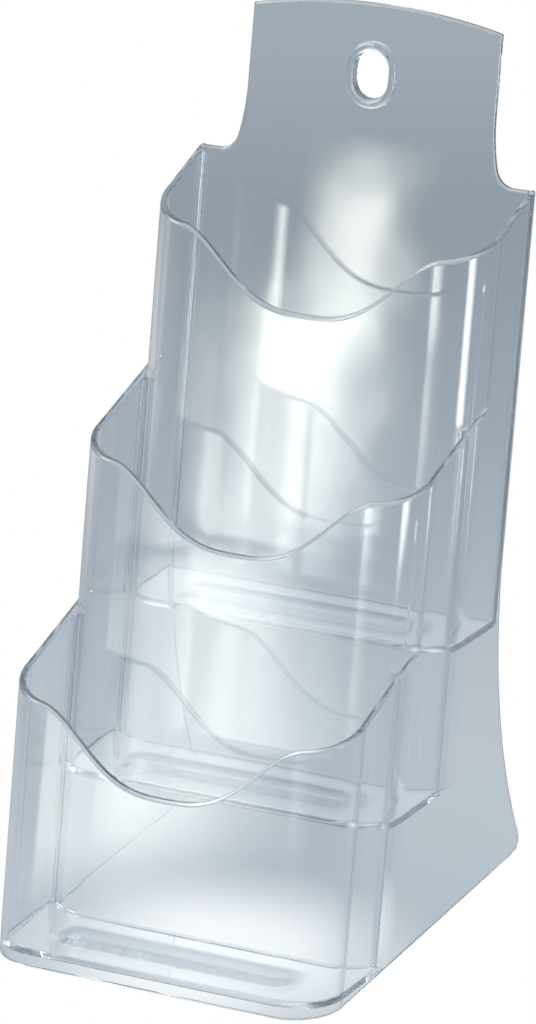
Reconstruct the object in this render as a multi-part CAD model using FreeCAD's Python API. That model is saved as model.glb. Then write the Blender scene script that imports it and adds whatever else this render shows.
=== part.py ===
"""Three-tier leaflet rack for a counter or a wall, in clear moulded polystyrene.

Three stepped pockets for one-third A4 leaflets stand between two flat side panels. Every pocket
front leans back by the same angle, has rounded corners and a scooped rim, and runs down to the
floor of the pocket before it. A tall back panel with a narrower neck carries a hanging hole.
The moulding is divided into its panels, which meet face to face.

Millimetres. X is across the rack, +Y goes from the front to the back, +Z is up. While it is built,
Y is 0 at the foot of the lowest pocket front. The finished rack is then moved along Y, so that the
origin is the bottom centre of its bounding box.
"""
import FreeCAD
import Part
import math
import os
from FreeCAD import Vector

# Overall
WIDTH = 110.0
WALL = 2.0                       # thickness of the upright panels
LEAN_ANGLE = math.radians(10.5)  # of every upright panel, back from the vertical
TIERS = ("lower", "middle", "upper")
TIER_PITCH = 35.2                # from one pocket front to the next, and to the back panel
CORNER_RADIUS = 15.0             # outside, on the pocket fronts

# Scooped rims
RIM_HEIGHT = 78.0                # of the lowest pocket front, near its corners
RIM_PITCH = 59.5
SCOOP_DEPTH = 19.6
SCOOP_HALF_WIDTH = 43.0
SCOOP_POWER = 1.45               # above 1, this widens the bottom of the scoop
RIM_CROWN = 1.2                  # extra fall of the rim from its corners to its middle
RIM_SPANS = 22                   # spans of the curve through the scooped rim
SIDE_RIM_SLOPE = 0.27            # rise of the side rims towards the back

# Floors
FLOOR_THICKNESS = 1.8
FLOOR_SLOPE = 0.065              # each floor falls towards the back
FLOOR_HEIGHT = 2.6               # top of the lowest floor where it meets the pocket front behind it
FLOOR_PITCH = 39.7
PLATEAU_RISE = 0.8               # raised middle of each floor
PLATEAU_ROOT = 0.5               # how far it starts below the floor's top face
PLATEAU_LENGTH = 82.0
PLATEAU_DEPTH = 20.0
PLATEAU_SLOPE_WIDTH = 2.0

# Back panel
SHOULDER_HEIGHT = 209.0
NECK_HALF_WIDTH = 40.6
NECK_TOP = 253.0                 # at the neck's corners
CROWN_HEIGHT = 257.3             # at the middle of the arched top edge
NECK_SPREAD_RADIUS = 63.0        # slow outward bend above the shoulder fillet
NECK_SPREAD_ANGLE = math.radians(14.0)
NECK_FILLET = 6.0

# Hanging hole and its collar
HOLE_CENTRE_HEIGHT = 236.6
HOLE_WIDTH = 11.2
HOLE_HEIGHT = 14.6
COLLAR_WIDTH = 2.6
COLLAR_PROUD = 1.6

# Side panels below the back panel
FOOT_CURVE_RADIUS = 150.0
FOOT_CURVE_HEIGHT = 75.0         # where the concave back edge is furthest forward
FOOT_CORNER_RADIUS = 4.0

HALF = WIDTH / 2
INSIDE = HALF - WALL
LEAN = math.tan(LEAN_ANGLE)       # how far the panels go back for each millimetre up
BACK_Y = TIER_PITCH * len(TIERS)  # front face of the back panel, at the table
BACK_FOOT = FLOOR_HEIGHT + (len(TIERS) - 1) * FLOOR_PITCH - FLOOR_THICKNESS  # its bottom edge
MARGIN = 10.0                     # how far a cutting tool runs past what it cuts
BEYOND = 400.0                    # larger than the rack
TINY = 1e-6


def front_y(tier):
    """Outer face of a pocket front at the table's height. The back panel counts as one more tier."""
    return tier * TIER_PITCH


def rim_height(tier):
    return RIM_HEIGHT + tier * RIM_PITCH


def side_rim_slope(tier):
    """Rise of a side rim. The top one runs from its pocket front to the back panel's shoulder."""
    if tier < len(TIERS) - 1:
        return SIDE_RIM_SLOPE
    rise = SHOULDER_HEIGHT - rim_height(tier)
    return rise / (BACK_Y - front_y(tier) + LEAN * rise)


def side_rim(tier, y):
    """Height of a side rim at y."""
    start_y = front_y(tier) + LEAN * rim_height(tier)
    return rim_height(tier) + side_rim_slope(tier) * (y - start_y)


def on_side_rim(tier, offset):
    """Point (y, z) where a side rim crosses the leaning line that stands at offset on the table."""
    slope = side_rim_slope(tier)
    z = (side_rim(tier, 0.0) + slope * offset) / (1 - slope * LEAN)
    return offset + LEAN * z, z


def side_rim_end(tier):
    """Point (y, z) where a side rim runs into the next front's corner, or into the back panel."""
    last = tier == len(TIERS) - 1
    return on_side_rim(tier, BACK_Y if last else front_y(tier + 1) + CORNER_RADIUS)


def scoop_drop(x):
    """How far the front rim lies below its corner height at x."""
    u = min(abs(x) / SCOOP_HALF_WIDTH, 1.0)
    bell = 0.5 * (1 + math.cos(math.pi * u ** SCOOP_POWER))
    return SCOOP_DEPTH * bell + RIM_CROWN * (1 - (x / HALF) ** 2)


def floor_back_height(tier):
    """Height of a floor's top face where it meets the wall behind it."""
    return FLOOR_HEIGHT + tier * FLOOR_PITCH


def floor_top(tier, y):
    """Height of a floor's top face at y."""
    back = floor_back_height(tier)
    return back + FLOOR_SLOPE * (front_y(tier + 1) + LEAN * back - y)


def closed_face(edges):
    return Part.Face(Part.Wire(edges))


def polygon_face(points):
    return Part.Face(Part.makePolygon([*points, points[0]]))


def chain(points):
    """Straight edges from each point to the next."""
    return [Part.makeLine(a, b) for a, b in zip(points, points[1:])]


def leaning_prism(face, z0, z1):
    """Solid whose level sections all equal face, moved back with height from its place at z = 0."""
    placed = face.translated(Vector(0, LEAN * z0, z0))
    return placed.extrude(Vector(0, LEAN * (z1 - z0), z1 - z0))


def rectangle(half_x, y0, y1):
    """Level rectangle across the rack."""
    return polygon_face([Vector(-half_x, y0, 0), Vector(half_x, y0, 0),
                         Vector(half_x, y1, 0), Vector(-half_x, y1, 0)])


def pocket_plan(tier, inset, depth):
    """Plan of a pocket: a rectangle of that depth with its two front corners rounded."""
    half, radius = HALF - inset, CORNER_RADIUS - inset
    y0 = front_y(tier) + inset
    y1 = front_y(tier) + depth
    turn = radius * math.sqrt(0.5)
    centre_x, centre_y = half - radius, y0 + radius
    left = Part.Arc(Vector(-half, centre_y, 0),
                    Vector(-centre_x - turn, centre_y - turn, 0),
                    Vector(-centre_x, y0, 0))
    right = Part.Arc(Vector(centre_x, y0, 0),
                     Vector(centre_x + turn, centre_y - turn, 0),
                     Vector(half, centre_y, 0))
    front = Part.makeLine(Vector(-centre_x, y0, 0), Vector(centre_x, y0, 0))
    round_back = [Vector(half, centre_y, 0), Vector(half, y1, 0),
                  Vector(-half, y1, 0), Vector(-half, centre_y, 0)]
    if y1 - centre_y < TINY:
        round_back = [round_back[0], round_back[-1]]
    return closed_face([left.toShape(), front, right.toShape(), *chain(round_back)])


def below_rim(tier):
    """Everything below a rim, as a tool: the scooped outline, swept back along the side rims."""
    level = side_rim(tier, 0.0)
    xs = [-HALF + WIDTH * i / RIM_SPANS for i in range(RIM_SPANS + 1)]
    points = [Vector(x, 0, level - scoop_drop(x)) for x in xs]
    rim = Part.BSplineCurve()
    rim.interpolate(points)
    reach = HALF + MARGIN
    outside = [points[-1], Vector(reach, 0, level), Vector(reach, 0, -BEYOND),
               Vector(-reach, 0, -BEYOND), Vector(-reach, 0, level), points[0]]
    face = closed_face([rim.toShape(), *chain(outside)])
    return face.extrude(Vector(0, BEYOND, BEYOND * side_rim_slope(tier)))


def side_panel(side):
    """Flat panel with a stepped front edge, three side rims and a flared, concave back foot."""
    outline = [Vector(0, front_y(0) + CORNER_RADIUS, 0)]
    for tier in range(len(TIERS)):
        outline.append(Vector(0, *on_side_rim(tier, front_y(tier) + CORNER_RADIUS)))
        outline.append(Vector(0, *side_rim_end(tier)))
    rear_y = BACK_Y + WALL
    outline.append(Vector(0, rear_y + LEAN * SHOULDER_HEIGHT, SHOULDER_HEIGHT))

    # the leaning back edge runs into an arc, which carries it back again to the foot
    curve_top = FOOT_CURVE_HEIGHT + FOOT_CURVE_RADIUS * math.sin(LEAN_ANGLE)
    centre_y = rear_y + LEAN * curve_top + FOOT_CURVE_RADIUS * math.cos(LEAN_ANGLE)

    def on_curve(z):
        return Vector(0, centre_y - math.sqrt(FOOT_CURVE_RADIUS ** 2 - (z - FOOT_CURVE_HEIGHT) ** 2), z)

    foot = on_curve(0.0)
    outline.append(on_curve(curve_top))
    curve = Part.Arc(outline[-1], on_curve(FOOT_CURVE_HEIGHT), foot).toShape()
    face = closed_face([*chain(outline), curve, Part.makeLine(foot, outline[0])])
    panel = face.translated(Vector(INSIDE if side > 0 else -HALF, 0, 0)).extrude(Vector(WALL, 0, 0))
    foot_edge = [edge for edge in panel.Edges
                 if all(v.Point.z < TINY and abs(v.Point.y - foot.y) < TINY for v in edge.Vertexes)]
    return panel.makeFillet(FOOT_CORNER_RADIUS, foot_edge)


def pocket_front(tier, side_panels):
    """Upright U-shaped wall with rounded corners and a scooped rim. The top one stands on a floor."""
    bottom = 0.0
    if tier == len(TIERS) - 1:
        bottom = floor_top(tier - 1, front_y(tier) + LEAN * FLOOR_PITCH) - FLOOR_THICKNESS
    top = rim_height(tier) + MARGIN
    outer = leaning_prism(pocket_plan(tier, 0.0, CORNER_RADIUS), bottom, top)
    inner = leaning_prism(pocket_plan(tier, WALL, CORNER_RADIUS + MARGIN), bottom, top)
    return outer.cut(inner).common(below_rim(tier)).cut(side_panels)


def plateau(tier):
    """Shallow raised rectangle with sloping sides, set on a floor's top face."""
    middle_y = (front_y(tier) + WALL + front_y(tier + 1)) / 2 + LEAN * floor_back_height(tier)

    def outline(shrink, rise):
        half_x = PLATEAU_LENGTH / 2 - shrink
        half_y = PLATEAU_DEPTH / 2 - shrink
        corners = [(-half_x, middle_y - half_y), (half_x, middle_y - half_y),
                   (half_x, middle_y + half_y), (-half_x, middle_y + half_y)]
        points = [Vector(x, y, floor_top(tier, y) + rise) for x, y in corners]
        return Part.makePolygon([*points, points[0]])

    return Part.makeLoft([outline(0.0, -PLATEAU_ROOT), outline(PLATEAU_SLOPE_WIDTH, PLATEAU_RISE)],
                         True, True)


def pocket_floor(tier):
    """Floor between one pocket front and the next wall back, with a raised middle."""
    top = [Vector(-INSIDE, y, floor_top(tier, y)) for y in (0.0, BEYOND)]
    underside = [point - Vector(0, 0, FLOOR_THICKNESS) for point in reversed(top)]
    slab = polygon_face([*top, *underside]).extrude(Vector(2 * INSIDE, 0, 0))
    low = floor_back_height(tier) - MARGIN
    high = floor_back_height(tier) + MARGIN
    room = leaning_prism(pocket_plan(tier, WALL, 2 * TIER_PITCH), low, high)
    if tier == len(TIERS) - 1:
        behind = leaning_prism(rectangle(HALF, BACK_Y, BACK_Y + TIER_PITCH), low, high)
    else:
        behind = leaning_prism(pocket_plan(tier + 1, 0.0, 2 * TIER_PITCH), low, high)
    return slab.common(room).cut(behind).fuse(plateau(tier)).removeSplitter()


def stadium(width, height, centre_z):
    """Upright oblong with round ends, in the XZ plane."""
    radius = width / 2
    low, high = centre_z - (height / 2 - radius), centre_z + (height / 2 - radius)
    upper_end = Part.Arc(Vector(-radius, 0, high), Vector(0, 0, high + radius), Vector(radius, 0, high))
    lower_end = Part.Arc(Vector(radius, 0, low), Vector(0, 0, low - radius), Vector(-radius, 0, low))
    right = Part.makeLine(Vector(radius, 0, high), Vector(radius, 0, low))
    left = Part.makeLine(Vector(-radius, 0, low), Vector(-radius, 0, high))
    return closed_face([upper_end.toShape(), right, lower_end.toShape(), left])


def neck_edges(side):
    """One side of the neck, from its top corner down to the shoulder: line, slow arc, fillet."""
    spread_end = NECK_SPREAD_ANGLE
    fillet_rise = NECK_FILLET * (1 - math.sin(spread_end))
    start = Vector(side * NECK_HALF_WIDTH, 0,
                   SHOULDER_HEIGHT + fillet_rise + NECK_SPREAD_RADIUS * math.sin(spread_end))

    def spread(angle):
        return start + Vector(side * NECK_SPREAD_RADIUS * (1 - math.cos(angle)), 0,
                              -NECK_SPREAD_RADIUS * math.sin(angle))

    join = spread(spread_end)
    centre = join + Vector(side * NECK_FILLET * math.cos(spread_end), 0,
                           NECK_FILLET * math.sin(spread_end))

    def fillet(angle):
        return centre - Vector(side * NECK_FILLET * math.cos(angle), 0, NECK_FILLET * math.sin(angle))

    shoulder = fillet(math.pi / 2)
    top = Vector(side * NECK_HALF_WIDTH, 0, NECK_TOP)
    return [Part.makeLine(top, start),
            Part.Arc(start, spread(spread_end / 2), join).toShape(),
            Part.Arc(join, fillet((spread_end + math.pi / 2) / 2), shoulder).toShape(),
            Part.makeLine(shoulder, Vector(side * HALF, 0, SHOULDER_HEIGHT))]


def back_panel():
    """Leaning panel with shoulders, a neck with an arched top edge, and the hanging hole."""
    sheet = leaning_prism(rectangle(INSIDE, BACK_Y, BACK_Y + WALL), BACK_FOOT, CROWN_HEIGHT + MARGIN)
    crown = Part.Arc(Vector(-NECK_HALF_WIDTH, 0, NECK_TOP), Vector(0, 0, CROWN_HEIGHT),
                     Vector(NECK_HALF_WIDTH, 0, NECK_TOP)).toShape()
    below = [Vector(HALF, 0, SHOULDER_HEIGHT), Vector(HALF, 0, BACK_FOOT - MARGIN),
             Vector(-HALF, 0, BACK_FOOT - MARGIN), Vector(-HALF, 0, SHOULDER_HEIGHT)]
    edges = Part.__sortEdges__([*neck_edges(-1), crown, *neck_edges(1), *chain(below)])
    outline = closed_face(edges).extrude(Vector(0, BEYOND, 0))
    hole = stadium(HOLE_WIDTH, HOLE_HEIGHT, HOLE_CENTRE_HEIGHT).extrude(Vector(0, BEYOND, 0))
    return sheet.common(outline).cut(hole)


def hanger_collar():
    """Oblong ring that stands proud of the back panel round the hanging hole."""
    outer = stadium(HOLE_WIDTH + 2 * COLLAR_WIDTH, HOLE_HEIGHT + 2 * COLLAR_WIDTH, HOLE_CENTRE_HEIGHT)
    inner = stadium(HOLE_WIDTH, HOLE_HEIGHT, HOLE_CENTRE_HEIGHT)
    tube = outer.extrude(Vector(0, BEYOND, 0)).cut(inner.extrude(Vector(0, BEYOND, 0)))
    return tube.common(leaning_prism(rectangle(HALF, BACK_Y - COLLAR_PROUD, BACK_Y), 0, CROWN_HEIGHT))


def build():
    """Every panel by name, with the origin at the bottom centre of the whole rack."""
    nodes = {"side_panel_left": side_panel(-1), "side_panel_right": side_panel(1)}
    side_panels = Part.makeCompound(list(nodes.values()))
    for tier, name in enumerate(TIERS):
        nodes[f"{name}_pocket_front"] = pocket_front(tier, side_panels)
        nodes[f"{name}_pocket_floor"] = pocket_floor(tier)
    nodes["back_panel"] = back_panel()
    nodes["hanger_collar"] = hanger_collar()

    box = Part.makeCompound(list(nodes.values())).BoundBox
    to_origin = Vector(0, -(box.YMin + box.YMax) / 2, 0)
    for shape in nodes.values():
        shape.translate(to_origin)
    return nodes


os.makedirs("parts", exist_ok=True)
for node_name, node_shape in build().items():
    node_shape.exportStep(f"parts/{node_name}.step")
    extent = node_shape.BoundBox
    print(f"{node_name:22s} solids {len(node_shape.Solids)} valid {node_shape.isValid()} "
          f"volume {node_shape.Volume:9.1f}  "
          f"X {extent.XMin:7.2f} {extent.XMax:7.2f}  Y {extent.YMin:7.2f} {extent.YMax:7.2f}  "
          f"Z {extent.ZMin:7.2f} {extent.ZMax:7.2f}")
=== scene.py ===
"""The looks of a clear three-tier leaflet rack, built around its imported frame.

Each CAD panel is replaced by a finished one of the same size, with rounded rims and filled inside
corners. Where two panels meet, one runs slightly into the other.

Lengths are in millimetres in the rack's own terms, where y counts back from the foot of the lowest
pocket front, and rack_point() turns such a point into the frame's metres. Every upright leans back
by the same angle, so a point on one is given by its height and its offset, which is the y that its
leaning line has on the table.
"""

import math

import bmesh
import bpy
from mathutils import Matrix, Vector


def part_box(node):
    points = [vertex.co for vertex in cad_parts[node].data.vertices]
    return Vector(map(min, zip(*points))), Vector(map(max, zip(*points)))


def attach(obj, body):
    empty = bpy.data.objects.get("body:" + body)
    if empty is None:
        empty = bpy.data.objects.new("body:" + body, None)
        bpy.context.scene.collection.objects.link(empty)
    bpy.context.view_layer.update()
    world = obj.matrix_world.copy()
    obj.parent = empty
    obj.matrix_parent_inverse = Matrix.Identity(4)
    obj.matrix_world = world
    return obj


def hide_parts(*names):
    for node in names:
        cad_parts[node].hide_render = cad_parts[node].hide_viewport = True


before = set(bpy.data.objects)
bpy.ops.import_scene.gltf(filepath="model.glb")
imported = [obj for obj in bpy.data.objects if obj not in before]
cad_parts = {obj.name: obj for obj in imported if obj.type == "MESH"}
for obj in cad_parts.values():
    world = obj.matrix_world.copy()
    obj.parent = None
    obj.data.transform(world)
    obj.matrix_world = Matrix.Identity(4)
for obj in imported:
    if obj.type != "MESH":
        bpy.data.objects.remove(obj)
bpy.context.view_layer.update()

MM = 0.001
TINY = 0.01            # mm, smaller than any detail
MERGE_DISTANCE = 1e-7  # metres
MAINLY = 0.5           # an edge runs along an axis if this much of its unit direction does
LEAN_TOLERANCE = 0.02  # of a unit direction, for an edge that leans with the uprights

# Panels
HALF = 55.0
WALL = 2.0
INSIDE = HALF - WALL
LEAN_ANGLE = math.radians(10.5)
LEAN = math.tan(LEAN_ANGLE)
TIERS = ("lower", "middle", "upper")
TOP_TIER = len(TIERS) - 1
TIER_PITCH = 35.2
CORNER_RADIUS = 15.0
CORNER_CENTRE_X = HALF - CORNER_RADIUS
BACK_Y = TIER_PITCH * len(TIERS)

# Rims
RIM_HEIGHT = 78.0
RIM_PITCH = 59.5
SCOOP_DEPTH = 19.6
SCOOP_HALF_WIDTH = 43.0
SCOOP_POWER = 1.45
RIM_CROWN = 1.2
SIDE_RIM_SLOPE = 0.27

# Floors, and the raised plateau in the middle of each
FLOOR_THICKNESS = 1.8
FLOOR_SLOPE = 0.065
FLOOR_HEIGHT = 2.6
FLOOR_PITCH = 39.7
PLATEAU_RISE = 0.8
PLATEAU_LENGTH = 82.0
PLATEAU_DEPTH = 20.0
PLATEAU_MIDDLE = (WALL + TIER_PITCH) / 2   # from its pocket front's foot line
PLATEAU_EDGE = 8.0                         # width of the slopes at its ends
PLATEAU_EDGE_SHARE = 0.5                   # share of its depth that each long slope takes
SHADE_EDGE = 5.0                           # width over which its shade starts at its ends
SHADE_FRONT = 0.62                         # share of its depth over which the shade grows from the front
SHADE_BACK = 0.22                          # and from the back

# Back panel
SHOULDER_HEIGHT = 209.0
NECK_HALF_WIDTH = 40.6
NECK_TOP = 253.0
CROWN_HEIGHT = 257.3
NECK_SPREAD_RADIUS = 63.0
NECK_SPREAD_ANGLE = math.radians(14.0)
NECK_FILLET = 6.0
BACK_FOOT = FLOOR_HEIGHT + TOP_TIER * FLOOR_PITCH - FLOOR_THICKNESS

# Hanging hole and its collar
HOLE_CENTRE_HEIGHT = 236.6
HOLE_WIDTH = 11.2
HOLE_HEIGHT = 14.6
COLLAR_WIDTH = 2.6
COLLAR_PROUD = 1.6

# Rear edge of the side panels
FOOT_CURVE_RADIUS = 150.0
FOOT_CURVE_HEIGHT = 75.0
FOOT_CORNER_RADIUS = 4.0

# Finish of the moulding
OVERLAP = 0.02            # how far a panel runs into the one that it meets, so that light passes between them
CREASE_ROUND = 1.5        # radius in the upright inside corners
CREASE_FOOT = 0.2         # how far below a floor's top face an upright crease starts
FLOOR_CREASE_ROUND = 0.5  # radius in the inside corners round a floor
RIM_ROUND = 0.8           # radius on free rims
FOOT_ROUND = 0.3          # radius on edges that stand on the table
SEAM_ROUND = 0.12         # radius on edges that meet another panel
SMOOTH_ANGLE = math.radians(32)

# Facets and rows of the meshes
ROUND_STEPS = 5           # in a quarter round on a rim
FOOT_STEPS = 2            # in a quarter round on a foot
CREASE_STEPS = 8          # round a crease
CORNER_STEPS = 24         # round a pocket front's corner
FRONT_STEPS = 80          # across the flat of a pocket front
FLOOR_STEPS = 44          # from the front to the back of a floor
FOOT_CURVE_STEPS = 40
FOOT_CORNER_STEPS = 10
NECK_STEPS = 12
CROWN_STEPS = 20
HOLE_STEPS = 14

# View of the reference
CAMERA_AZIMUTH = math.radians(25.98)
CAMERA_ELEVATION = math.radians(20.62)
CAMERA_DISTANCE = 1.7376
CAMERA_TARGET = Vector((-0.0002, 0.00175, 0.12167))
CAMERA_LENS = 208.2
CAMERA_CLIP_START = 0.05
SENSOR_WIDTH = 36.0

foot_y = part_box("lower_pocket_front")[0].y


def rack_point(x, y, z):
    return Vector((x * MM, y * MM + foot_y, z * MM))


def leaning(x, offset, z):
    """Point at height z of the leaning line that stands at offset on the table."""
    return (x, offset + LEAN * z, z)


# ---------------------------------------------------------------- shape of the rack

def front_y(tier):
    return tier * TIER_PITCH


def rim_height(tier):
    return RIM_HEIGHT + tier * RIM_PITCH


def side_rim_slope(tier):
    if tier < TOP_TIER:
        return SIDE_RIM_SLOPE
    rise = SHOULDER_HEIGHT - rim_height(tier)
    return rise / (BACK_Y - front_y(tier) + LEAN * rise)


def side_rim(tier, y):
    """Height of a tier's side rims at y."""
    return rim_height(tier) + side_rim_slope(tier) * (y - front_y(tier) - LEAN * rim_height(tier))


def scoop_drop(x):
    """How far a pocket front's rim falls below the line of the side rims."""
    u = min(abs(x) / SCOOP_HALF_WIDTH, 1.0)
    bell = 0.5 * (1 + math.cos(math.pi * u ** SCOOP_POWER))
    return SCOOP_DEPTH * bell + RIM_CROWN * (1 - (x / HALF) ** 2)


def rim_over(tier, offset, drop=0.0):
    """Height over an offset of a rim that runs drop below the line of the side rims."""
    slope = side_rim_slope(tier)
    return (side_rim(tier, 0.0) - drop + slope * offset) / (1 - slope * LEAN)


def floor_over(tier, offset):
    """Height of a floor's top face over an offset."""
    back = FLOOR_HEIGHT + tier * FLOOR_PITCH
    return (back + FLOOR_SLOPE * (front_y(tier + 1) + LEAN * back - offset)) / (1 + FLOOR_SLOPE * LEAN)


def quarter(radius, steps):
    """(inward, downward) steps round a quarter circle, from a wall's face to the top of its rim."""
    turns = [math.pi / 2 * i / steps for i in range(steps + 1)]
    return [(radius * (1 - math.cos(t)), radius * (1 - math.sin(t))) for t in turns]


def arc_points(centre, radius, start, end, steps):
    """Points (u, v) round an arc, both ends included. Angles are in radians."""
    turns = [start + (end - start) * i / steps for i in range(steps + 1)]
    return [(centre[0] + radius * math.cos(t), centre[1] + radius * math.sin(t)) for t in turns]


def soft_step(distance, width):
    """0 below 0, 1 above width, with an S-shaped rise between them."""
    u = min(max(distance / width, 0.0), 1.0)
    return u * u * (3 - 2 * u)


def mirrored(points):
    """The same (x, v) points in reverse order on the other side of the rack's middle."""
    return [(-x, v) for x, v in reversed(points)]


# ---------------------------------------------------------------- making meshes

def new_piece(name, verts, faces):
    """Object from points in rack terms, with its doubled points merged and its faces turned outwards."""
    mesh = bpy.data.meshes.new(name)
    mesh.from_pydata([rack_point(*v) for v in verts], [], faces)
    piece = bpy.data.objects.new(name, mesh)
    bpy.context.scene.collection.objects.link(piece)
    tidy = bmesh.new()
    tidy.from_mesh(mesh)
    bmesh.ops.remove_doubles(tidy, verts=tidy.verts, dist=MERGE_DISTANCE)
    bmesh.ops.recalc_face_normals(tidy, faces=tidy.faces)
    tidy.to_mesh(mesh)
    tidy.free()
    return piece


def tube_faces(rings, ring_size, closed=False):
    """Quads between rings of points that follow each other. closed joins the last ring to the first."""
    faces = []
    for i in range(rings if closed else rings - 1):
        near, far = i * ring_size, (i + 1) % rings * ring_size
        for j in range(ring_size):
            following = (j + 1) % ring_size
            faces.append([near + j, near + following, far + following, far + j])
    return faces


def prism(name, outline, near, far):
    """Solid between two copies of an outline. near and far turn a point of it into each copy's."""
    count = len(outline)
    verts = [near(*p) for p in outline] + [far(*p) for p in outline]
    faces = [list(range(count)), list(range(2 * count - 1, count - 1, -1))]
    faces += [[i, i + count, (i + 1) % count + count, (i + 1) % count] for i in range(count)]
    return new_piece(name, verts, faces)


def apply_modifiers(piece):
    """Replaces a piece's mesh by what its modifiers make of it."""
    bpy.context.view_layer.update()
    evaluated = piece.evaluated_get(bpy.context.evaluated_depsgraph_get())
    made = bpy.data.meshes.new_from_object(evaluated)
    piece.modifiers.clear()
    piece.data = made


def add_shell(piece, shell):
    """Moves a second closed shell into a piece's mesh."""
    both = bmesh.new()
    both.from_mesh(piece.data)
    both.from_mesh(shell.data)
    both.to_mesh(piece.data)
    both.free()
    bpy.data.objects.remove(shell)


def cut_away(piece, cutters):
    for cutter in cutters:
        cut = piece.modifiers.new("cut", "BOOLEAN")
        cut.operation = "DIFFERENCE"
        cut.solver = "EXACT"
        cut.object = cutter
    apply_modifiers(piece)
    for cutter in cutters:
        bpy.data.objects.remove(cutter)


def round_edges(piece, radius_of):
    """Rounds each edge by the radius that radius_of(its middle in rack terms, its direction) gives."""
    mesh = piece.data
    weights = mesh.attributes.new("bevel_weight_edge", "FLOAT", "EDGE")
    for edge in mesh.edges:
        a, b = (mesh.vertices[i].co for i in edge.vertices)
        middle = (a + b) / 2
        spot = (middle.x / MM, (middle.y - foot_y) / MM, middle.z / MM)
        weights.data[edge.index].value = radius_of(spot, (b - a).normalized()) / RIM_ROUND
    bevel = piece.modifiers.new("round edges", "BEVEL")
    bevel.limit_method = "WEIGHT"
    bevel.offset_type = "OFFSET"
    bevel.width = RIM_ROUND * MM
    bevel.segments = ROUND_STEPS
    bevel.use_clamp_overlap = False
    bevel.miter_outer = "MITER_SHARP"
    apply_modifiers(piece)


def finish_surface(piece):
    """Smooth shading that keeps the flat faces flat and the square edges sharp."""
    piece.data.shade_smooth()
    piece.data.set_sharp_from_angle(angle=SMOOTH_ANGLE)
    weigh = piece.modifiers.new("flat faces stay flat", "WEIGHTED_NORMAL")
    weigh.keep_sharp = True
    weigh.weight = 100


# ---------------------------------------------------------------- pocket fronts

def wall_columns():
    """(x, y, inward x, inward y) along a pocket front's outer face in plan, from left to right."""
    arm_end = -math.asin(OVERLAP / CORNER_RADIUS)
    turns = [arm_end + (math.pi / 2 - arm_end) * i / CORNER_STEPS for i in range(CORNER_STEPS + 1)]
    right = [(CORNER_CENTRE_X + CORNER_RADIUS * math.cos(t), CORNER_RADIUS * (1 - math.sin(t)),
              -math.cos(t), math.sin(t)) for t in turns]
    left = [(-x, y, -nx, ny) for x, y, nx, ny in right]
    flat = [(CORNER_CENTRE_X * (2 * i / FRONT_STEPS - 1), 0.0, 0.0, 1.0) for i in range(1, FRONT_STEPS)]
    return left + flat + right[::-1]


def wall_profile():
    """(depth, below the rim or None, above the foot or None) round a pocket front's thickness."""
    rim = quarter(RIM_ROUND, ROUND_STEPS)
    base = quarter(FOOT_ROUND, FOOT_STEPS)
    profile = [(depth, None, rise) for depth, rise in base][::-1]
    profile += [(depth, drop, None) for depth, drop in rim]
    profile += [(WALL - depth, drop, None) for depth, drop in reversed(rim)]
    profile += [(WALL - depth, None, rise) for depth, rise in base]
    return profile


def wall_section(tier, column, foot):
    """Closed outline of a pocket front across its thickness: outer face, rim, inner face, foot."""
    x, y, inward_x, inward_y = column
    points = []
    for depth, below_rim, above_foot in wall_profile():
        px = x + inward_x * depth
        offset = front_y(tier) + y + inward_y * depth
        if below_rim is None:
            z = foot + above_foot
        else:
            z = rim_over(tier, offset, scoop_drop(px)) - below_rim
        points.append(leaning(px, offset, z))
    return points


def side_clearance(tier, side):
    """Where the side panel runs on below the rim of one tier, past the next pocket front."""
    low, front, back = -TIER_PITCH, -4 * TIER_PITCH, 8 * TIER_PITCH
    outline = [(front, low), (back, low), (back, side_rim(tier, back) - OVERLAP),
               (front, side_rim(tier, front) - OVERLAP)]
    return prism("cutter", outline, lambda y, z: (side * (INSIDE + OVERLAP), y, z),
                 lambda y, z: (side * (HALF + WALL), y, z))


def pocket_front(tier):
    """U-shaped wall, swept from its left arm round to its right arm.

    The lower two stand on the table. The upper one ends at the underside of the floor before it.
    """
    foot = 0.0
    if tier == TOP_TIER:
        foot = floor_over(tier - 1, front_y(tier)) - FLOOR_THICKNESS
    sections = [wall_section(tier, column, foot) for column in wall_columns()]
    ring_size = len(sections[0])
    last = (len(sections) - 1) * ring_size
    verts = [point for section in sections for point in section]
    faces = tube_faces(len(sections), ring_size)
    faces += [list(range(ring_size)), [last + j for j in reversed(range(ring_size))]]
    piece = new_piece(f"clear_{TIERS[tier]}_pocket_front", verts, faces)
    if tier > 0:
        cut_away(piece, [side_clearance(tier - 1, side) for side in (-1, 1)])
    return piece


# ---------------------------------------------------------------- creases in the inside corners

def crease_arc(tier, radius):
    """(x, y) round a pocket's right rear inside corner, from the side panel inwards.

    It is a plan from the pocket front's foot line, as the other outlines of creases and floors are.
    """
    middle_x = INSIDE - CREASE_ROUND
    if tier == TOP_TIER:
        return arc_points((middle_x, TIER_PITCH - CREASE_ROUND), radius, 0.0, math.pi / 2, CREASE_STEPS)
    along = middle_x - CORNER_CENTRE_X
    across = math.sqrt((CORNER_RADIUS + CREASE_ROUND) ** 2 - along ** 2)
    middle = (middle_x, TIER_PITCH + CORNER_RADIUS - across)
    return arc_points(middle, radius, 0.0, math.atan2(across, -along), CREASE_STEPS)


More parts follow.
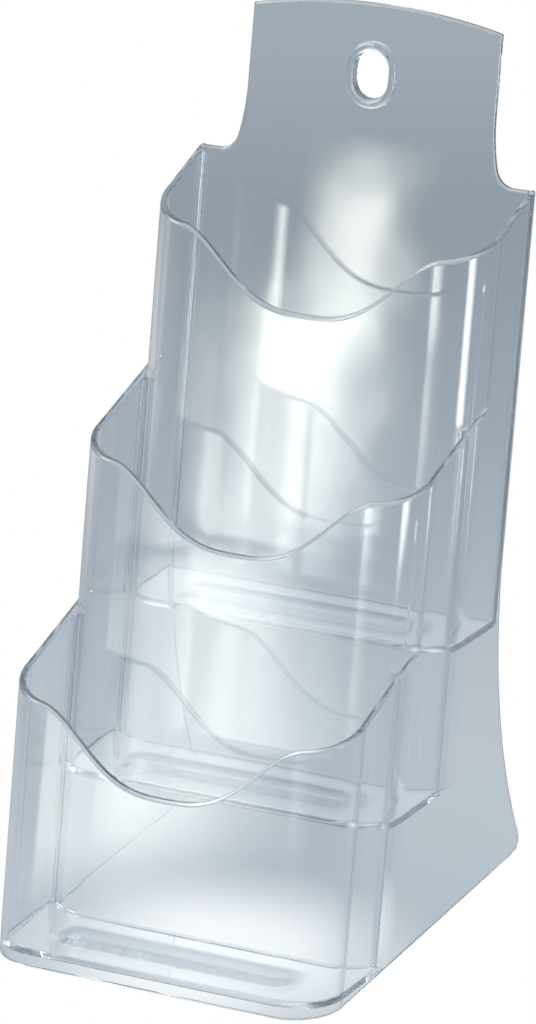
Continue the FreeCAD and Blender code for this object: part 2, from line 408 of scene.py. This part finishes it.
def crease_backing(tier):
    """(x, y) from the inner end of a crease arc back to the side panel, just inside the wall behind."""
    if tier == TOP_TIER:
        return [(INSIDE - CREASE_ROUND, TIER_PITCH + OVERLAP), (INSIDE + OVERLAP, TIER_PITCH + OVERLAP)]
    centre = (CORNER_CENTRE_X, TIER_PITCH + CORNER_RADIUS)
    inner = CORNER_RADIUS - OVERLAP
    touch = crease_arc(tier, CREASE_ROUND)[-1]
    start = math.atan2(touch[1] - centre[1], touch[0] - centre[0])
    end = -math.acos((INSIDE + OVERLAP - centre[0]) / inner)
    return arc_points(centre, inner, start, end, CREASE_STEPS)


def standing_crease(tier, side):
    """Solid that fills the upright inside corner of one pocket, and leans with its walls."""
    section = [(x, front_y(tier) + y) for x, y in crease_arc(tier, CREASE_ROUND) + crease_backing(tier)]
    offset = section[0][1]
    section.append((INSIDE + OVERLAP, offset))
    low = floor_over(tier, offset) - CREASE_FOOT
    high = rim_over(tier, offset) - RIM_ROUND
    return prism("crease", [(side * x, y) for x, y in section],
                 lambda x, y: leaning(x, y, low), lambda x, y: leaning(x, y, high))


def floor_loop(tier):
    """Outline of a pocket's inside at floor level, from its left end along the front and round."""
    front = [(x, y) for x, y, _ in floor_columns()]
    corner = crease_arc(tier, CREASE_ROUND + OVERLAP)
    if tier == TOP_TIER:
        back_right = [(CORNER_CENTRE_X, TIER_PITCH + OVERLAP)]
    else:
        centre = (CORNER_CENTRE_X, TIER_PITCH + CORNER_RADIUS)
        start = math.atan2(corner[-1][1] - centre[1], corner[-1][0] - centre[0])
        back_right = arc_points(centre, CORNER_RADIUS - OVERLAP, start, -math.pi / 2, CORNER_STEPS)[1:]
    right = corner + back_right
    return front + right + mirrored(right)


def plan_direction(start, end):
    return Vector((end[0] - start[0], end[1] - start[1])).normalized()


def inward_normals(loop):
    """Unit directions into a loop of plan points that runs from the left along its front."""
    normals = []
    for i, point in enumerate(loop):
        run = plan_direction(loop[i - 1], point) + plan_direction(point, loop[(i + 1) % len(loop)])
        run.normalize()
        normals.append((-run.y, run.x))
    return normals


def floor_crease(tier):
    """Rounding in the inside corner between a floor and the walls round it."""
    loop = floor_loop(tier)
    radius = FLOOR_CREASE_ROUND
    turns = [math.pi / 2 * i / CREASE_STEPS for i in range(CREASE_STEPS + 1)]
    section = [(0.0, -OVERLAP), (radius, -OVERLAP)]
    section += [(radius * (1 - math.sin(t)), radius * (1 - math.cos(t))) for t in turns]
    verts = []
    for (x, y), (inward_x, inward_y) in zip(loop, inward_normals(loop)):
        for inward, up in section:
            offset = front_y(tier) + y + inward_y * inward
            verts.append(leaning(x + inward_x * inward, offset, floor_over(tier, offset) + up))
    return new_piece("crease", verts, tube_faces(len(loop), len(section), closed=True))


# ---------------------------------------------------------------- floors

def floor_columns():
    """(x, front y, back y) across a floor, in plan and from its pocket front's foot line."""
    inner = CORNER_RADIUS - WALL + OVERLAP
    outer = CORNER_RADIUS - OVERLAP
    right = []
    for i in range(1, CORNER_STEPS + 1):
        turn = math.pi / 2 * i / CORNER_STEPS
        dx = inner * math.sin(turn)
        front = CORNER_RADIUS - inner * math.cos(turn)
        back = TIER_PITCH + CORNER_RADIUS - math.sqrt(outer ** 2 - dx ** 2)
        right.append((CORNER_CENTRE_X + dx, front, back))
    flat = [(CORNER_CENTRE_X * (2 * i / FRONT_STEPS - 1), WALL - OVERLAP, TIER_PITCH + OVERLAP)
            for i in range(FRONT_STEPS + 1)]
    return [(-x, front, back) for x, front, back in reversed(right)] + flat + right


def plateau_share(from_middle):
    """How far a point lies from the plateau's front edge, 0, to its back edge, 1."""
    return min(max(from_middle / PLATEAU_DEPTH + 0.5, 0.0), 1.0)


def plateau_rise(x, from_middle):
    """Height of the plateau above its floor."""
    share = plateau_share(from_middle)
    along = soft_step(PLATEAU_LENGTH / 2 - abs(x), PLATEAU_EDGE)
    across = soft_step(share, PLATEAU_EDGE_SHARE) * soft_step(1 - share, PLATEAU_EDGE_SHARE)
    return PLATEAU_RISE * along * across


def painted_plateau_shade(x, from_middle):
    """How much painted shade darkens the plateau's colour: most near its back edge, fading to its front."""
    share = plateau_share(from_middle)
    along = soft_step(PLATEAU_LENGTH / 2 - abs(x), SHADE_EDGE)
    return along * soft_step(share, SHADE_FRONT) * soft_step(1 - share, SHADE_BACK)


def add_painted_plateau_shade(piece, tier):
    """Stores the plateau's painted shade on a floor's points, for the plastic's material."""
    shade = piece.data.attributes.new("painted_plateau_shade", "FLOAT", "POINT")
    middle = front_y(tier) + PLATEAU_MIDDLE
    for vertex in piece.data.vertices:
        spot = vertex.co
        offset = (spot.y - foot_y - LEAN * spot.z) / MM
        shade.data[vertex.index].value = painted_plateau_shade(spot.x / MM, offset - middle)


def slab_faces(columns, rows):
    """Quads round a slab whose top grid of points comes before its underside's, column by column."""
    count = columns * rows
    faces = []
    for i in range(columns - 1):
        for a in range(i * rows, i * rows + rows - 1):
            faces.append([a, a + rows, a + rows + 1, a + 1])
            faces.append([count + a, count + a + 1, count + a + rows + 1, count + a + rows])
    front_edge = [i * rows for i in range(columns)]
    back_edge = [i * rows + rows - 1 for i in range(columns)]
    left_edge = list(range(rows))
    right_edge = [(columns - 1) * rows + j for j in range(rows)]
    for edge in (front_edge, right_edge, back_edge[::-1], left_edge[::-1]):
        faces += [[a, count + a, count + b, b] for a, b in zip(edge, edge[1:])]
    return faces


def pocket_floor(tier):
    """Sloping floor with a low, soft-edged plateau in its middle."""
    columns = floor_columns()
    if tier == TOP_TIER:
        columns = [(x, front, TIER_PITCH + OVERLAP) for x, front, _ in columns]
    shares = [i / FLOOR_STEPS for i in range(FLOOR_STEPS + 1)]
    top, under = [], []
    for x, front, back in columns:
        for share in shares:
            y = front + (back - front) * share
            offset = front_y(tier) + y
            z = floor_over(tier, offset)
            top.append(leaning(x, offset, z + plateau_rise(x, y - PLATEAU_MIDDLE)))
            under.append(leaning(x, offset, z - FLOOR_THICKNESS))
    piece = new_piece(f"clear_{TIERS[tier]}_pocket_floor", top + under, slab_faces(len(columns), len(shares)))
    add_shell(piece, floor_crease(tier))
    add_painted_plateau_shade(piece, tier)
    return piece


# ---------------------------------------------------------------- side panels

def side_outline():
    """(y, z) round a side panel, from its front foot up over the stepped rims and down the back."""
    points = [(front_y(0) + CORNER_RADIUS, 0.0)]
    for tier in range(len(TIERS)):
        start = front_y(tier) + CORNER_RADIUS
        end = BACK_Y if tier == TOP_TIER else front_y(tier + 1) + CORNER_RADIUS
        points += [leaning(0.0, offset, rim_over(tier, offset))[1:] for offset in (start, end)]
    rear_y = BACK_Y + WALL
    points.append((rear_y + LEAN * SHOULDER_HEIGHT, SHOULDER_HEIGHT))
    curve_top = FOOT_CURVE_HEIGHT + FOOT_CURVE_RADIUS * math.sin(LEAN_ANGLE)
    centre = (rear_y + LEAN * curve_top + FOOT_CURVE_RADIUS * math.cos(LEAN_ANGLE), FOOT_CURVE_HEIGHT)

    # the rear corner of the foot is an arc between the concave back edge and the table
    reach = FOOT_CURVE_RADIUS + FOOT_CORNER_RADIUS
    drop = FOOT_CURVE_HEIGHT - FOOT_CORNER_RADIUS
    corner = (centre[0] - math.sqrt(reach ** 2 - drop ** 2), FOOT_CORNER_RADIUS)
    touch = math.asin(drop / reach)
    points += arc_points(centre, FOOT_CURVE_RADIUS, math.pi - LEAN_ANGLE, math.pi + touch, FOOT_CURVE_STEPS)
    points += arc_points(corner, FOOT_CORNER_RADIUS, touch, -math.pi / 2, FOOT_CORNER_STEPS)
    return points


def side_edge_radius(spot, direction):
    """Radius of a side panel's edge: none across its thickness, and little where a pocket front meets it."""
    _, y, z = spot
    if abs(direction.x) > MAINLY:
        return 0.0
    if z < TINY:
        return FOOT_ROUND
    leans = abs(direction.y - LEAN * direction.z) < LEAN_TOLERANCE
    before_back_panel = y < BACK_Y + LEAN * z - WALL
    return SEAM_ROUND if leans and before_back_panel else RIM_ROUND


def side_panel(side):
    """Flat panel with its inside-corner fillings. side is -1 on the left and 1 on the right."""
    piece = prism("clear_side_panel_" + ("left" if side < 0 else "right"), side_outline(),
                  lambda y, z: (side * INSIDE, y, z), lambda y, z: (side * HALF, y, z))
    round_edges(piece, side_edge_radius)
    for tier in range(len(TIERS)):
        add_shell(piece, standing_crease(tier, side))
    return piece


# ---------------------------------------------------------------- back panel

def neck_side():
    """(x, z) down the right side of the neck: top corner, slow arc, fillet, shoulder."""
    a = NECK_SPREAD_ANGLE
    start_z = SHOULDER_HEIGHT + NECK_FILLET * (1 - math.sin(a)) + NECK_SPREAD_RADIUS * math.sin(a)
    spread = arc_points((NECK_HALF_WIDTH + NECK_SPREAD_RADIUS, start_z), NECK_SPREAD_RADIUS,
                        math.pi, math.pi + a, NECK_STEPS)
    join = spread[-1]
    centre = (join[0] + NECK_FILLET * math.cos(a), join[1] + NECK_FILLET * math.sin(a))
    fillet = arc_points(centre, NECK_FILLET, math.pi + a, math.pi * 1.5, NECK_STEPS)
    return spread + fillet[1:]


def crown_side():
    """(x, z) along the right half of the arched top edge, from its middle to the neck's corner."""
    rise = CROWN_HEIGHT - NECK_TOP
    radius = (NECK_HALF_WIDTH ** 2 + rise ** 2) / (2 * rise)
    half_turn = math.asin(NECK_HALF_WIDTH / radius)
    return arc_points((0.0, CROWN_HEIGHT - radius), radius, math.pi / 2, math.pi / 2 - half_turn, CROWN_STEPS)


def hole_side(grow=0.0):
    """(x, z) round the right half of the hanging hole, from its lowest point to its highest."""
    radius = HOLE_WIDTH / 2 + grow
    rise = (HOLE_HEIGHT - HOLE_WIDTH) / 2
    low = arc_points((0.0, HOLE_CENTRE_HEIGHT - rise), radius, -math.pi / 2, 0.0, HOLE_STEPS)
    high = arc_points((0.0, HOLE_CENTRE_HEIGHT + rise), radius, 0.0, math.pi / 2, HOLE_STEPS)
    return low + high


def on_back_panel(depth, points):
    """The (x, z) points of the leaning panel, at a depth behind its front face."""
    return [leaning(x, BACK_Y + depth, z) for x, z in points]


def back_edge_radius(spot, direction):
    """Radius of a back panel's edge: none across its thickness or down its middle."""
    x, _, z = spot
    on_middle = abs(x) < TINY and abs(direction.x) < MAINLY
    if on_middle or abs(direction.y) > MAINLY:
        return 0.0
    seam = abs(abs(x) - INSIDE - OVERLAP) < TINY or z < BACK_FOOT + TINY
    inside_hole = abs(x) < HOLE_WIDTH and abs(z - HOLE_CENTRE_HEIGHT) < HOLE_HEIGHT
    return SEAM_ROUND if seam or inside_hole else RIM_ROUND


def back_panel():
    """Panel made of two halves round the hole, which join down its middle."""
    edge = INSIDE + OVERLAP
    right = crown_side() + neck_side() + [(edge, SHOULDER_HEIGHT), (edge, BACK_FOOT), (0.0, BACK_FOOT)]
    right += hole_side()
    halves = (right, mirrored(right))
    size = len(right)
    verts, faces = [], []
    for depth, turn in ((0.0, 1), (WALL, -1)):
        for half in halves:
            start = len(verts)
            verts += on_back_panel(depth, half)
            faces.append(list(range(start, start + size))[::turn])

    # the faces round the thickness, apart from those down the middle, where the halves join
    for k, half in enumerate(halves):
        near, far = k * size, (k + len(halves)) * size
        for i in range(size - 1):
            if max(abs(half[i][0]), abs(half[i + 1][0])) > TINY:
                faces.append([near + i, near + i + 1, far + i + 1, far + i])
    piece = new_piece("clear_back_panel", verts, faces)
    round_edges(piece, back_edge_radius)
    return piece


def collar_section():
    """(outward, depth) round the collar's cross-section. Depth is behind the panel's front face."""
    top = quarter(COLLAR_WIDTH / 2, ROUND_STEPS)
    inner = [(inward, drop - COLLAR_PROUD) for inward, drop in top]
    outer = [(COLLAR_WIDTH - inward, drop - COLLAR_PROUD) for inward, drop in reversed(top)]
    return [(0.0, OVERLAP)] + inner + outer + [(COLLAR_WIDTH, OVERLAP)]


def hanger_collar():
    """Rounded ring round the hole, on the back panel's front face."""
    section = collar_section()
    verts = []
    for grow, depth in section:
        right = hole_side(grow)
        verts += on_back_panel(depth, right + mirrored(right))
    faces = tube_faces(len(section), len(verts) // len(section), closed=True)
    return new_piece("clear_hanger_collar", verts, faces)


# ---------------------------------------------------------------- clear polystyrene

PLASTIC_IOR = 1.59
HAZE_NOISE = {"Scale": 90.0, "Detail": 3.0, "Roughness": 0.6}
HAZE_ROUGHNESS = (0.005, 0.03)         # least and most
TINT_NOISE = {"Scale": 14.0, "Detail": 2.0}
TINTS = ((0.955, 0.975, 0.99, 1), (0.975, 0.988, 0.998, 1))
RIPPLE_NOISE = {"Scale": 28.0, "Detail": 1.0}
RIPPLE_STRENGTH = 0.12
RIPPLE_HEIGHT = 0.0006                 # metres
DEPTH_COLOUR = (0.0, 0.10, 0.18, 1)    # light that runs along inside a wall comes out dimmer and cooler
DEPTH_DENSITY = 7.0                    # per metre
PLATEAU_PAINTED_SHADE = (0.67, 0.73, 0.78, 1)   # painted shade of the floors' plateaus, where their shade mask is 1
PLATEAU_ROUGHNESS = 0.12               # added there


def set_inputs(node, **values):
    """Sets input sockets by name, with an underscore for each space."""
    for name, value in values.items():
        node.inputs[name.replace("_", " ")].default_value = value


def new_material(name):
    """A material and its node tree's nodes and links."""
    material = bpy.data.materials.new(name)
    material.use_nodes = True
    return material, material.node_tree.nodes, material.node_tree.links


def colour_mix(nodes):
    """Mix node for colours. Its type comes first, because its sockets depend on it."""
    mix = nodes.new("ShaderNodeMix")
    mix.data_type = "RGBA"
    return mix


def math_node(nodes, operation):
    """Node for one sum, such as MULTIPLY."""
    node = nodes.new("ShaderNodeMath")
    node.operation = operation
    return node


def noise(nodes, links, place, settings):
    """Noise that lies still in the rack."""
    texture = nodes.new("ShaderNodeTexNoise")
    set_inputs(texture, **settings)
    links.new(place.outputs["Object"], texture.inputs["Vector"])
    return texture.outputs["Fac"]


def hazy_roughness(nodes, links, place, plateau):
    """Fine patchy haze, with more of it on the plateaus."""
    haze = nodes.new("ShaderNodeMapRange")
    set_inputs(haze, To_Min=HAZE_ROUGHNESS[0], To_Max=HAZE_ROUGHNESS[1])
    links.new(noise(nodes, links, place, HAZE_NOISE), haze.inputs["Value"])
    soften = math_node(nodes, "MULTIPLY_ADD")
    soften.inputs[1].default_value = PLATEAU_ROUGHNESS
    links.new(plateau.outputs["Fac"], soften.inputs[0])
    links.new(haze.outputs["Result"], soften.inputs[2])
    return soften.outputs["Value"]


def cool_tint_and_painted_shade(nodes, links, place, plateau):
    """Faint tint that varies slowly, and painted shade on the plateaus."""
    tint = nodes.new("ShaderNodeValToRGB")
    for stop, colour in zip(tint.color_ramp.elements, TINTS):
        stop.color = colour
    links.new(noise(nodes, links, place, TINT_NOISE), tint.inputs["Fac"])
    shaded = colour_mix(nodes)
    set_inputs(shaded, B=PLATEAU_PAINTED_SHADE)
    links.new(plateau.outputs["Fac"], shaded.inputs["Factor"])
    links.new(tint.outputs["Color"], shaded.inputs["A"])
    return shaded.outputs["Result"]


def slow_ripple(nodes, links, place):
    """Low, wide waves in the surface, as a normal."""
    bump = nodes.new("ShaderNodeBump")
    set_inputs(bump, Strength=RIPPLE_STRENGTH, Distance=RIPPLE_HEIGHT)
    links.new(noise(nodes, links, place, RIPPLE_NOISE), bump.inputs["Height"])
    return bump.outputs["Normal"]


def clear_polystyrene():
    """Water-clear moulded polystyrene: a faint cool tint, painted shade on the floors' plateaus, fine haze
    and slow ripples in the surface.
    """
    material, nodes, links = new_material("clear_polystyrene")
    shader = nodes["Principled BSDF"]
    set_inputs(shader, IOR=PLASTIC_IOR, Transmission_Weight=1.0)
    place = nodes.new("ShaderNodeTexCoord")
    plateau = nodes.new("ShaderNodeAttribute")
    plateau.attribute_name = "painted_plateau_shade"
    links.new(hazy_roughness(nodes, links, place, plateau), shader.inputs["Roughness"])
    links.new(cool_tint_and_painted_shade(nodes, links, place, plateau), shader.inputs["Base Color"])
    links.new(slow_ripple(nodes, links, place), shader.inputs["Normal"])
    depth = nodes.new("ShaderNodeVolumeAbsorption")
    set_inputs(depth, Color=DEPTH_COLOUR, Density=DEPTH_DENSITY)
    links.new(depth.outputs["Volume"], nodes["Material Output"].inputs["Volume"])
    return material


# ---------------------------------------------------------------- floor and backdrop

WHITE = (1.0, 1.0, 1.0, 1)
FLOOR_HALF_SIZE = 8.0
FLOOR_DROP = 0.0002                 # below the rack's foot, so that their faces don't fight
# the floor as the plastic shows it, with painted light and shade by distance: metres from the rack's middle,
# up to 1, and colour
FLOOR_GREYS = (
    (0.04, (0.47, 0.53, 0.58, 1)),
    (0.14, (0.57, 0.62, 0.66, 1)),
    (0.36, (0.38, 0.43, 0.48, 1)),
    (0.52, (0.345, 0.395, 0.44, 1)),
    (0.68, (0.275, 0.32, 0.36, 1)),
    (0.88, (0.37, 0.43, 0.48, 1)),
)
# painted pools of light on that floor: centre, radius of the full brightness, radius where it has faded,
# colour
PAINTED_FLOOR_GLOWS = (
    ((-0.55, 0.30, 0.0), 0.10, 0.36, (0.62, 0.63, 0.64, 1)),      # to the rack's left
    ((0.005, -0.042, 0.0), 0.012, 0.068, (1.12, 1.12, 1.12, 1)),  # light that the lower pocket gathers
)
HORIZON = (0.30, 0.34, 0.38, 1)     # what the plastic reflects: a grey horizon, lighter above
OVERHEAD = (0.80, 0.83, 0.86, 1)
HORIZON_TOP = 0.12                  # upward part of the direction where the horizon starts to lighten
OVERHEAD_FROM = 0.55


def greys_by_distance(nodes, links, position):
    """Colour socket with FLOOR_GREYS blended by the distance from the rack's middle."""
    distance = nodes.new("ShaderNodeVectorMath")
    distance.operation = "LENGTH"
    links.new(position, distance.inputs[0])
    greys = nodes.new("ShaderNodeValToRGB")
    greys.color_ramp.interpolation = "B_SPLINE"
    stops = greys.color_ramp.elements
    while len(stops) < len(FLOOR_GREYS):
        stops.new(0.5)
    for stop, (metres, colour) in zip(stops, FLOOR_GREYS):
        stop.position = metres
        stop.color = colour
    links.new(distance.outputs["Value"], greys.inputs["Fac"])
    return greys.outputs["Color"]


def with_glow(nodes, links, position, colour, glow):
    """Colour socket that adds one painted pool of light to another."""
    centre, core, reach, glow_colour = glow
    away = nodes.new("ShaderNodeVectorMath")
    away.operation = "DISTANCE"
    away.inputs[1].default_value = centre
    links.new(position, away.inputs[0])
    fade = nodes.new("ShaderNodeMapRange")
    fade.interpolation_type = "SMOOTHSTEP"
    set_inputs(fade, From_Min=reach, From_Max=core)
    links.new(away.outputs["Value"], fade.inputs["Value"])
    lit = colour_mix(nodes)
    set_inputs(lit, B=glow_colour)
    links.new(fade.outputs["Result"], lit.inputs["Factor"])
    links.new(colour, lit.inputs["A"])
    return lit.outputs["Result"]


def floor_material():
    """White to look at; through and in the plastic, a pale cool grey that deepens with distance as painted
    shade, with painted pools of light on it.
    """
    material, nodes, links = new_material("studio_floor")
    nodes.remove(nodes["Principled BSDF"])
    position = nodes.new("ShaderNodeNewGeometry").outputs["Position"]
    colour = greys_by_distance(nodes, links, position)
    for glow in PAINTED_FLOOR_GLOWS:
        colour = with_glow(nodes, links, position, colour, glow)
    through = nodes.new("ShaderNodeEmission")
    links.new(colour, through.inputs["Color"])
    seen = nodes.new("ShaderNodeEmission")
    set_inputs(seen, Color=WHITE)
    path = nodes.new("ShaderNodeLightPath")
    pick = nodes.new("ShaderNodeMixShader")
    links.new(path.outputs["Is Camera Ray"], pick.inputs["Fac"])
    links.new(through.outputs["Emission"], pick.inputs[1])
    links.new(seen.outputs["Emission"], pick.inputs[2])
    links.new(pick.outputs["Shader"], nodes["Material Output"].inputs["Surface"])
    return material


def studio_floor():
    """Wide flat floor just below the rack's foot."""
    size = FLOOR_HALF_SIZE
    mesh = bpy.data.meshes.new("studio_floor")
    corners = [(-size, -size, 0), (size, -size, 0), (size, size, 0), (-size, size, 0)]
    mesh.from_pydata(corners, [], [(0, 1, 2, 3)])
    floor = bpy.data.objects.new("studio_floor", mesh)
    floor.location.z = -FLOOR_DROP
    bpy.context.scene.collection.objects.link(floor)
    mesh.materials.append(floor_material())


def studio_world():
    """White behind everything; dim and cool in reflections, brighter overhead."""
    world = bpy.data.worlds.new("studio")
    bpy.context.scene.world = world
    world.use_nodes = True
    nodes, links = world.node_tree.nodes, world.node_tree.links
    direction = nodes.new("ShaderNodeTexCoord")
    split = nodes.new("ShaderNodeSeparateXYZ")
    links.new(direction.outputs["Generated"], split.inputs["Vector"])
    rise = nodes.new("ShaderNodeMapRange")
    rise.interpolation_type = "SMOOTHSTEP"
    set_inputs(rise, From_Min=HORIZON_TOP, From_Max=OVERHEAD_FROM)
    links.new(split.outputs["Z"], rise.inputs["Value"])
    sky = colour_mix(nodes)
    set_inputs(sky, A=HORIZON, B=OVERHEAD)
    links.new(rise.outputs["Result"], sky.inputs["Factor"])
    path = nodes.new("ShaderNodeLightPath")
    pick = colour_mix(nodes)
    set_inputs(pick, B=WHITE)
    links.new(sky.outputs["Result"], pick.inputs["A"])
    links.new(path.outputs["Is Camera Ray"], pick.inputs["Factor"])
    links.new(pick.outputs["Result"], nodes["Background"].inputs["Color"])


# ---------------------------------------------------------------- lamps and camera

LAMP_COLOUR = (1.0, 0.985, 0.945)
KEY_COLOUR = (1.0, 0.975, 0.875)
STRIP_HEIGHT = 0.0005               # of a lamp that lies on the floor
KEY_DISTANCE = 3.22
UPPER_LEFT_TILT = math.radians(45)
BOUNCES = 96                        # light that runs along inside a wall meets its faces many times


def edge_fade(nodes, links, along, soft):
    """1 in the middle of a lamp and 0 at its edges, across which along runs from 0 to 1."""
    centred = math_node(nodes, "SUBTRACT")
    centred.inputs[1].default_value = 0.5
    links.new(along, centred.inputs[0])
    away = math_node(nodes, "ABSOLUTE")
    links.new(centred.outputs["Value"], away.inputs[0])
    fade = nodes.new("ShaderNodeMapRange")
    fade.interpolation_type = "SMOOTHERSTEP"
    set_inputs(fade, From_Min=0.5, From_Max=0.5 * (1 - soft))
    links.new(away.outputs["Value"], fade.inputs["Value"])
    return fade.outputs["Result"]


def soft_edges(light, glow, soft):
    """Lets a lamp fade towards its edges. soft gives the faded shares of its half width and height."""
    light.use_nodes = True
    nodes, links = light.node_tree.nodes, light.node_tree.links
    place = nodes.new("ShaderNodeNewGeometry")
    split = nodes.new("ShaderNodeSeparateXYZ")
    links.new(place.outputs["Parametric"], split.inputs["Vector"])
    both = math_node(nodes, "MULTIPLY")
    links.new(edge_fade(nodes, links, split.outputs["X"], soft[0]), both.inputs[0])
    links.new(edge_fade(nodes, links, split.outputs["Y"], soft[1]), both.inputs[1])
    level = math_node(nodes, "MULTIPLY")
    level.inputs[1].default_value = glow
    links.new(both.outputs["Value"], level.inputs[0])
    links.new(level.outputs["Value"], nodes["Emission"].inputs["Strength"])


def lamp(name, width, height, glow, soft):
    """Rectangular lamp that the camera doesn't see directly, with the given glow at its middle."""
    data = bpy.data.lights.new(name, "AREA")
    data.shape = "RECTANGLE"
    data.size, data.size_y = width, height
    data.energy = math.pi * width * height
    data.color = LAMP_COLOUR
    soft_edges(data, glow, soft)
    light = bpy.data.objects.new(name, data)
    light.visible_camera = False
    bpy.context.scene.collection.objects.link(light)
    return light


def softbox(name, azimuth, distance, low, high, width, glow, soft):
    """Lamp that stands facing the rack. Azimuth 0 is in front and 90 is to the rack's right."""
    light = lamp(name, width, high - low, glow, soft)
    turn = math.radians(azimuth)
    light.location = (distance * math.sin(turn), -distance * math.cos(turn), (low + high) / 2)
    light.rotation_euler = (math.radians(90), 0, turn)
    return light


def floor_strip(name, azimuth, near, far, width, glow, soft):
    """Lamp that lies on the floor, from near to far along an azimuth, and shines upwards."""
    light = lamp(name, width, far - near, glow, soft)
    turn = math.radians(azimuth)
    middle = (near + far) / 2
    light.location = (middle * math.sin(turn), -middle * math.cos(turn), STRIP_HEIGHT)
    light.rotation_euler = (math.radians(180), 0, turn)
    return light


def key_lamps():
    """Narrow warm lamps whose reflections make the highlight down the rack's middle.

    Some reach below the floor, which hides that part, so that they are bright right down to it.
    """
    keys = [
        softbox("key", azimuth=-24.2, distance=KEY_DISTANCE, low=0.135, high=0.356,
                width=0.13, glow=6.0, soft=(1.0, 0.75)),
        softbox("key_middle", azimuth=-24.5, distance=KEY_DISTANCE, low=-0.42, high=0.24,
                width=0.15, glow=2.8, soft=(0.8, 0.3)),
        softbox("key_low", azimuth=-24.5, distance=KEY_DISTANCE, low=-0.42, high=-0.06,
                width=0.13, glow=0.9, soft=(1.0, 0.5)),
        softbox("key_skirt", azimuth=-24.75, distance=KEY_DISTANCE, low=-0.3, high=0.26,
                width=0.30, glow=1.4, soft=(1.0, 0.5)),
        floor_strip("key_foot", azimuth=-24.8, near=0.15, far=3.2,
                    width=0.15, glow=3.0, soft=(1.0, 0.3)),
    ]
    for key in keys:
        key.data.color = KEY_COLOUR


def side_lamps():
    """Softboxes to the left, behind and to the right, for the streaks down the rounded corners."""
    upper_left = softbox("upper_left", azimuth=-75.0, distance=1.2, low=0.7, high=1.7,
                         width=1.3, glow=5.0, soft=(0.6, 0.6))
    upper_left.rotation_euler.x = UPPER_LEFT_TILT
    softbox("rear_left", azimuth=-150.0, distance=1.9, low=0.12, high=1.35,
            width=1.9, glow=0.55, soft=(0.6, 0.36))
    softbox("right_strip", azimuth=70.0, distance=0.7, low=0.01, high=0.30,
            width=0.23, glow=7.5, soft=(0.5, 0.35))


def camera():
    """Camera to the right of the rack's front and above it, aimed at CAMERA_TARGET."""
    data = bpy.data.cameras.new("camera")
    data.lens = CAMERA_LENS
    data.sensor_width = SENSOR_WIDTH
    data.clip_start = CAMERA_CLIP_START
    made = bpy.data.objects.new("camera", data)
    back = Vector((math.sin(CAMERA_AZIMUTH) * math.cos(CAMERA_ELEVATION),
                   -math.cos(CAMERA_AZIMUTH) * math.cos(CAMERA_ELEVATION),
                   math.sin(CAMERA_ELEVATION)))
    made.location = CAMERA_TARGET + back * CAMERA_DISTANCE
    made.rotation_euler = (-back).to_track_quat("-Z", "Y").to_euler()
    bpy.context.scene.collection.objects.link(made)
    bpy.context.scene.camera = made


def stage():
    """Floor, backdrop and lamps, and how their light is rendered."""
    scene = bpy.context.scene
    scene.view_settings.view_transform = "Standard"
    scene.cycles.max_bounces = BOUNCES
    scene.cycles.transmission_bounces = BOUNCES
    scene.cycles.glossy_bounces = BOUNCES
    studio_floor()
    studio_world()
    key_lamps()
    side_lamps()


def build():
    """Makes the finished pieces, each named here by the CAD node that it replaces."""
    made = {"back_panel": back_panel(), "hanger_collar": hanger_collar(),
            "side_panel_left": side_panel(-1), "side_panel_right": side_panel(1)}
    for tier, name in enumerate(TIERS):
        made[f"{name}_pocket_front"] = pocket_front(tier)
        made[f"{name}_pocket_floor"] = pocket_floor(tier)
    plastic = clear_polystyrene()
    for node, piece in made.items():
        finish_surface(piece)
        piece.data.materials.clear()
        piece.data.materials.append(plastic)
        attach(piece, "root")
        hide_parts(node)


camera()
stage()
build()
